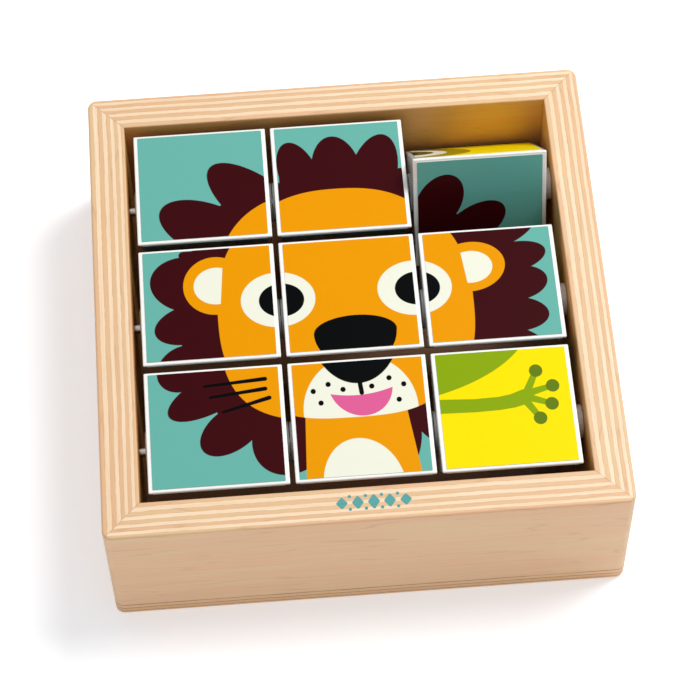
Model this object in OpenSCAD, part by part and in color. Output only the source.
// Turning-block picture puzzle.
// Nine three-sided blocks turn on three steel rods in a square plywood tray.
// X runs along the rods, Y runs from the front row to the back row, +Z is up.
// The origin is on the table, under the middle of the tray. Millimetres.

/* [Blocks] */
// Side of a block's triangle, before its long edges are rounded
block_side = 44; // [36:0.02:56]
// Length of a block along its rod
block_len = 44.3; // [34:0.1:56]
// Radius of a block's three long edges
edge_r = 0.5; // [0.4:0.1:3]
// Gap between the ends of two blocks on one rod
end_gap = 1.7; // [1.7:0.1:5]
// Gap between the long edges of two rows of blocks
row_gap = 2.74; // [2:0.02:6]
// How far the right-hand block of the back row is turned, top to the front
turned_by = 68; // [0:0.5:90]

/* [Pictures] */
// Thickness of a picture sheet
sheet_t = 0.2; // [0.1:0.05:0.4]
// Bare margin of a face at each end of the block
sheet_margin = 1.35; // [1:0.05:4]
// Bare margin of a face along each long edge, outside the edge's rounding
sheet_side_margin = 0.5; // [0:0.1:3]
// Radius of a picture sheet's corners
sheet_corner_r = 0.3; // [0.2:0.1:2]

/* [Rods and bushes] */
// Diameter of a steel rod
rod_d = 3; // [2:0.1:4]
// Depth of the blind rod holes in the side walls
rod_hole_depth = 8; // [5:0.5:10]
// Room between a rod's end and the bottom of its hole
rod_end_gap = 0.25; // [0.1:0.05:1]
// Radial clearance between a rod and its hole in the wall
rod_fit = 0.02; // [0.01:0.01:0.05]
// Radial clearance between a rod and the bushes that turn on it
bush_fit = 0.08; // [0.03:0.01:0.1]
// Outer diameter of a bush's sleeve
sleeve_d = 7; // [6:0.1:9]
// Length of a bush's sleeve inside the block
sleeve_len = 9; // [5:0.5:15]
// Diameter of a bush's flange
flange_d = 13; // [10:0.5:16]
// Thickness of a bush's flange
flange_t = 0.7; // [0.4:0.1:0.8]
// Diameter of the hole through a block between its bushes
bore_d = 5; // [4.5:0.1:5.8]
// Outer diameter of the spacer ring at the right-hand wall
ring_d = 10.8; // [7:0.1:14]
// Gap between a spacer ring and what is on each side of it
ring_gap = 0.08; // [0.05:0.01:0.3]

/* [Tray] */
// Thickness of the four walls
wall_t = 12; // [10.5:0.5:18]
// Thickness of the base panel
base_t = 6.5; // [4:0.5:10]
// Radius of the tray's upright outer corners
corner_r = 3; // [0.5:0.5:10]
// Room between a side wall and the block next to it
side_gap = 2.85; // [1.5:0.05:6]
// Room between a turning block's edge and the front or back wall
swing_gap = 0.15; // [0.1:0.05:3]
// Room between a turning block's edge and the base panel
floor_gap = 9.4; // [1:0.05:20]
// How far the upper faces of the blocks lie below the rim
rim_drop = 1; // [0:0.1:5]

/* [Hidden] */
$fn = 64;
ROWS = ["front", "middle", "back"];
COLUMNS = ["left", "centre", "right"];
PICTURES = ["lion", "frog", "fish"];
faces = len(PICTURES);
face_step = 360 / faces;
// Straight pieces in the arc of a block's long edge
edge_steps = 12;
// Direction of the first long edge from the rod, with a face on top
first_edge_angle = 90 - face_step / 2;
// How far a cut runs past the surface it opens
cut_over = 1;
// Hair gap between pieces of one block that lie on each other
lift = 0.01;

// The triangle: distance from the rod to a face, and the circle its edges sweep
face_dist = block_side / (2 * sqrt(3));
edge_centre_dist = 2 * (face_dist - edge_r);
swing_r = edge_centre_dist + edge_r;
flat_w = block_side - 2 * edge_r * sqrt(3);
block_w = flat_w + 2 * edge_r;

// The grid of blocks
pitch_x = block_len + end_gap;
pitch_y = block_w + row_gap;
sheet_len = block_len - 2 * sheet_margin;
sheet_w = flat_w - 2 * sheet_side_margin;

// The tray around it
inner_x = 2 * pitch_x + block_len + 2 * side_gap;
inner_y = 2 * pitch_y + 2 * (swing_r + swing_gap);
outer_x = inner_x + 2 * wall_t;
outer_y = inner_y + 2 * wall_t;
axis_z = base_t + floor_gap + swing_r;
rim_z = axis_z + face_dist + rim_drop;
wall_h = rim_z - base_t;
rod_len = inner_x + 2 * (rod_hole_depth - rod_end_gap);
ring_len = side_gap - flange_t - 2 * ring_gap;

// How far each block is turned from its lion picture, top to the front
function turn_of(row, column) =
    row == 2 && column == 2 ? turned_by :
    row == 0 && column == 2 ? face_step :
    0;

function place_name(row, column) = str(ROWS[row], "_", COLUMNS[column]);

// Places its children on the rod of a row, with X along the rod
module on_rod(row) {
    translate([0, (row - 1) * pitch_y, axis_z]) children();
}

// Places its children at a block's middle, turned as that block is
module at_block(row, column) {
    on_rod(row)
        translate([(column - 1) * pitch_x, 0, 0])
            rotate([turn_of(row, column), 0, 0]) children();
}

// A round bar or disc along X, from x to x + len
module bar(d, x, len) {
    translate([x, 0, 0]) rotate([0, 90, 0]) cylinder(d = d, h = len);
}

// A block's section with its face up: a triangle whose corners are arcs
module block_section() {
    polygon([
        for (i = [0:faces - 1], step = [0:edge_steps])
            let (
                corner_angle = first_edge_angle + i * face_step,
                arc_angle = corner_angle + (step / edge_steps - 0.5) * face_step
            )
            edge_centre_dist * [cos(corner_angle), sin(corner_angle)]
                + edge_r * [cos(arc_angle), sin(arc_angle)]
    ]);
}

// The tray's outline, with its corners rounded
module tray_outline() {
    x = outer_x / 2 - corner_r;
    y = outer_y / 2 - corner_r;
    union() {
        square([outer_x, 2 * y], center = true);
        square([2 * x, outer_y], center = true);
        for (i = [-x, x]) for (j = [-y, y]) translate([i, j]) circle(r = corner_r);
    }
}

module base_panel() {
    color("burlywood") linear_extrude(height = base_t) tray_outline();
}

// A wall with mitred ends, its outer face at y = -away, turned about the tray's middle
module mitred_wall(length, away, turn) {
    translate([0, 0, base_t])
        linear_extrude(height = wall_h)
            intersection() {
                tray_outline();
                rotate(turn) polygon([
                    [-length / 2, -away],
                    [length / 2, -away],
                    [length / 2 - wall_t, wall_t - away],
                    [-length / 2 + wall_t, wall_t - away]
                ]);
            }
}

module front_wall() {
    color("wheat") mitred_wall(outer_x, outer_y / 2, 0);
}

module back_wall() {
    color("wheat") mitred_wall(outer_x, outer_y / 2, 180);
}

// A side wall with its blind rod holes; side is -1 on the left, 1 on the right
module side_wall(side) {
    color("wheat") difference() {
        mitred_wall(outer_y, outer_x / 2, side * 90);
        for (row = [0:2]) on_rod(row)
            bar(
                rod_d + 2 * rod_fit,
                side > 0 ? inner_x / 2 - cut_over : -inner_x / 2 - rod_hole_depth,
                rod_hole_depth + cut_over
            );
    }
}

module left_wall() {
    side_wall(-1);
}

module right_wall() {
    side_wall(1);
}

module rod(row) {
    color("silver") on_rod(row) bar(rod_d, -rod_len / 2, rod_len);
}

module spacer_ring(row) {
    start = inner_x / 2 - ring_gap - ring_len;
    color("gainsboro") on_rod(row) difference() {
        bar(ring_d, start, ring_len);
        bar(rod_d + 2 * rod_fit, start - cut_over, ring_len + 2 * cut_over);
    }
}

module block(row, column) {
    color("white") at_block(row, column) difference() {
        translate([-block_len / 2, 0, 0])
            rotate([90, 0, 90])
                linear_extrude(height = block_len) block_section();
        bar(bore_d, -block_len / 2 - cut_over, block_len + 2 * cut_over);
        for (end = [-1, 1])
            bar(
                sleeve_d,
                end > 0 ? block_len / 2 - sleeve_len : -block_len / 2 - cut_over,
                sleeve_len + cut_over
            );
    }
}

// Two flanged bushes, one pushed into each end of a block
module bushes(row, column) {
    color("whitesmoke") at_block(row, column) for (end = [0, 1])
        mirror([end, 0, 0]) difference() {
            union() {
                bar(sleeve_d, block_len / 2 - sleeve_len + lift, sleeve_len);
                bar(flange_d, block_len / 2 + lift, flange_t);
            }
            bar(
                rod_d + 2 * bush_fit,
                block_len / 2 - sleeve_len - cut_over,
                sleeve_len + flange_t + 3 * cut_over
            );
        }
}

// One printed sheet on a block's face; picture 0 is on the face that starts on top
module sheet(row, column, picture, tint) {
    color(tint) at_block(row, column)
        rotate([-picture * face_step, 0, 0])
            translate([0, 0, face_dist + lift])
                linear_extrude(height = sheet_t) sheet_outline();
}

module sheet_outline() {
    along = sheet_len / 2 - sheet_corner_r;
    across = sheet_w / 2 - sheet_corner_r;
    union() {
        square([sheet_len, 2 * across], center = true);
        square([2 * along, sheet_w], center = true);
        for (x = [-along, along]) for (y = [-across, across])
            translate([x, y]) circle(r = sheet_corner_r);
    }
}

base_panel();
front_wall();
back_wall();
left_wall();
right_wall();
for (r = [0:2]) {
    rod(r);
    spacer_ring(r);
    for (c = [0:2]) {
        block(r, c);
        bushes(r, c);
        sheet(r, c, 0, "orange");
        sheet(r, c, 1, "yellow");
        sheet(r, c, 2, "deepskyblue");
    }
}
